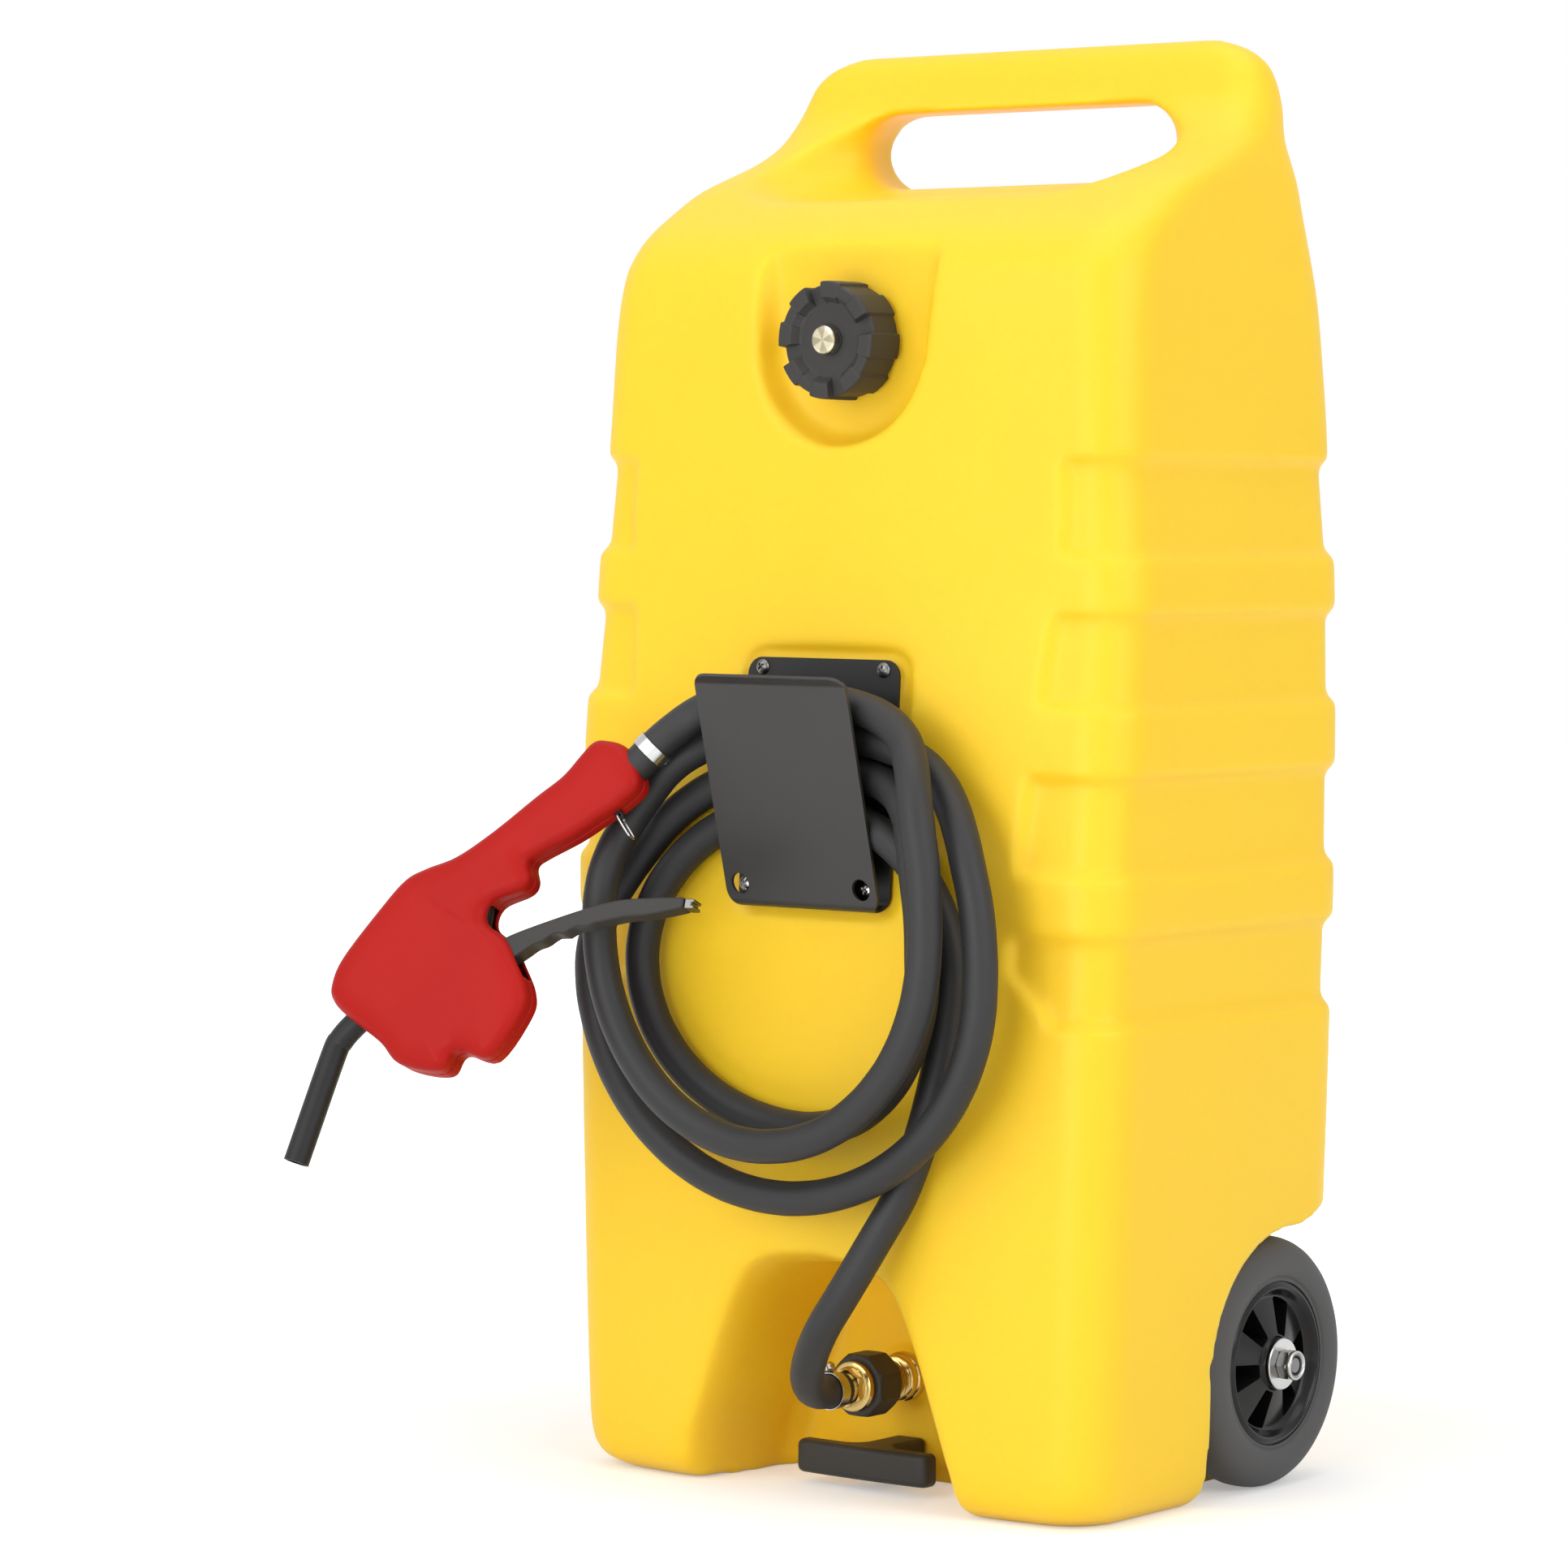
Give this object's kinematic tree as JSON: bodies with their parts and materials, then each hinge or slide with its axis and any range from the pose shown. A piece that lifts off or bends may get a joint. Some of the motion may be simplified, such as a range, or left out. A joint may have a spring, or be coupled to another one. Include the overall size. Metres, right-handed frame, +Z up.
{
  "type": "fuel caddy",
  "caption": "Two-wheeled blow-moulded fuel caddy with a grab handle, vented screw cap, outlet fittings, coiled hose on a bracket and a hand nozzle.",
  "frame": {"origin": "on the ground, in the middle of the tank's flat underside", "axes": "+X to the right seen from the front, the front faces -Y, +Z up"},
  "size_m": [0.551, 0.5484, 1.021],
  "materials": {
    "tank_plastic": "satin blow-moulded polyethylene",
    "black_plastic": "satin moulded plastic",
    "rubber": "smooth matt rubber",
    "tyre": "matt rubber",
    "rim_plastic": "semi-gloss moulded plastic",
    "red_cover": "satin dipped cover",
    "black_steel": "powder-coated sheet",
    "zinc": "bright zinc plate",
    "brass": "turned brass",
    "dark_metal": "dark grey die-cast metal"
  },
  "bodies": {
    "caddy": {"tank": "tank_plastic", "hose_bracket": "black_steel", "bracket_screw_1": "zinc", "bracket_screw_2": "zinc", "bracket_screw_3": "zinc", "bracket_screw_4": "zinc", "outlet_seal": "rubber", "outlet_fitting": "brass", "outlet_locknut": "brass", "coupling_nut": "black_plastic", "barb_adapter": "brass", "front_guard": "black_plastic", "axle": "zinc", "hose_tail": "rubber", "hose_loops": "rubber", "hose_lead": "rubber", "outlet_clamp": "zinc", "nozzle_clamp": "zinc", "nozzle_swivel": "zinc", "nozzle_casting": "dark_metal", "packing_nut": "brass", "cover_front": "red_cover", "cover_back": "red_cover", "nozzle_spout": "dark_metal", "lever_pin": "zinc", "inner_washer_right": "zinc", "outer_washer_right": "zinc", "axle_nut_right": "zinc", "nut_collar_right": "zinc", "inner_washer_left": "zinc", "outer_washer_left": "zinc", "axle_nut_left": "zinc", "nut_collar_left": "zinc"},
    "cap_ring": {"cap_gasket": "rubber"},
    "cap": {"fuel_cap": "black_plastic"},
    "vent_ring": {"vent_seal": "rubber"},
    "vent": {"vent_screw": "brass"},
    "wheel_right": {"tyre_right": "tyre", "rim_right": "rim_plastic"},
    "wheel_left": {"tyre_left": "tyre", "rim_left": "rim_plastic"},
    "lever": {"lever": "black_plastic", "lever_tip": "zinc"},
    "stem": {"valve_stem": "brass"},
    "latch": {"hold_latch": "zinc"}
  },
  "joints": [
    {"name": "wheel_right_spin", "type": "hinge", "parent": "caddy", "child": "wheel_right", "pos_m": [0.2, 0.094, 0.089], "axis": [1, 0, 0], "continuous": true},
    {"name": "wheel_left_spin", "type": "hinge", "parent": "caddy", "child": "wheel_left", "pos_m": [-0.2, 0.094, 0.089], "axis": [1, 0, 0], "continuous": true},
    {"name": "cap_lift", "type": "slide", "parent": "caddy", "child": "cap_ring", "axis": [0, -1, 0], "range_m": [0, 0.015]},
    {"name": "cap_turn", "type": "hinge", "parent": "cap_ring", "child": "cap", "pos_m": [0, -0.14, 0.805], "axis": [0, -1, 0], "range_deg": [0, 900]},
    {"name": "vent_lift", "type": "slide", "parent": "cap", "child": "vent_ring", "axis": [0, -1, 0], "range_m": [0, 0.003]},
    {"name": "vent_turn", "type": "hinge", "parent": "vent_ring", "child": "vent", "pos_m": [0, -0.15, 0.805], "axis": [0, -1, 0], "range_deg": [0, 1080]},
    {"name": "lever_squeeze", "type": "hinge", "parent": "caddy", "child": "lever", "pos_m": [-0.21704, -0.29006, 0.36265], "axis": [0.1954, -0.9192, 0.342], "range_deg": [0, 16], "stiffness_Nm_per_rad": 0.8},
    {"name": "stem_lift", "type": "slide", "parent": "caddy", "child": "stem", "axis": [-0.0711, 0.3345, 0.9397], "range_m": [0, 0.00531]},
    {"name": "latch_swing", "type": "hinge", "parent": "caddy", "child": "latch", "pos_m": [-0.11756, -0.2271, 0.47504], "axis": [-0.1954, 0.9192, -0.342], "range_deg": [-25, 60]}
  ],
  "couplings": [
    {"joint": "cap_lift", "follows": "cap_turn", "m_per_rad": 0.00095493},
    {"joint": "vent_lift", "follows": "vent_turn", "m_per_rad": 0.00015915},
    {"joint": "stem_lift", "follows": "lever_squeeze", "m_per_rad": 0.019001}
  ]
}
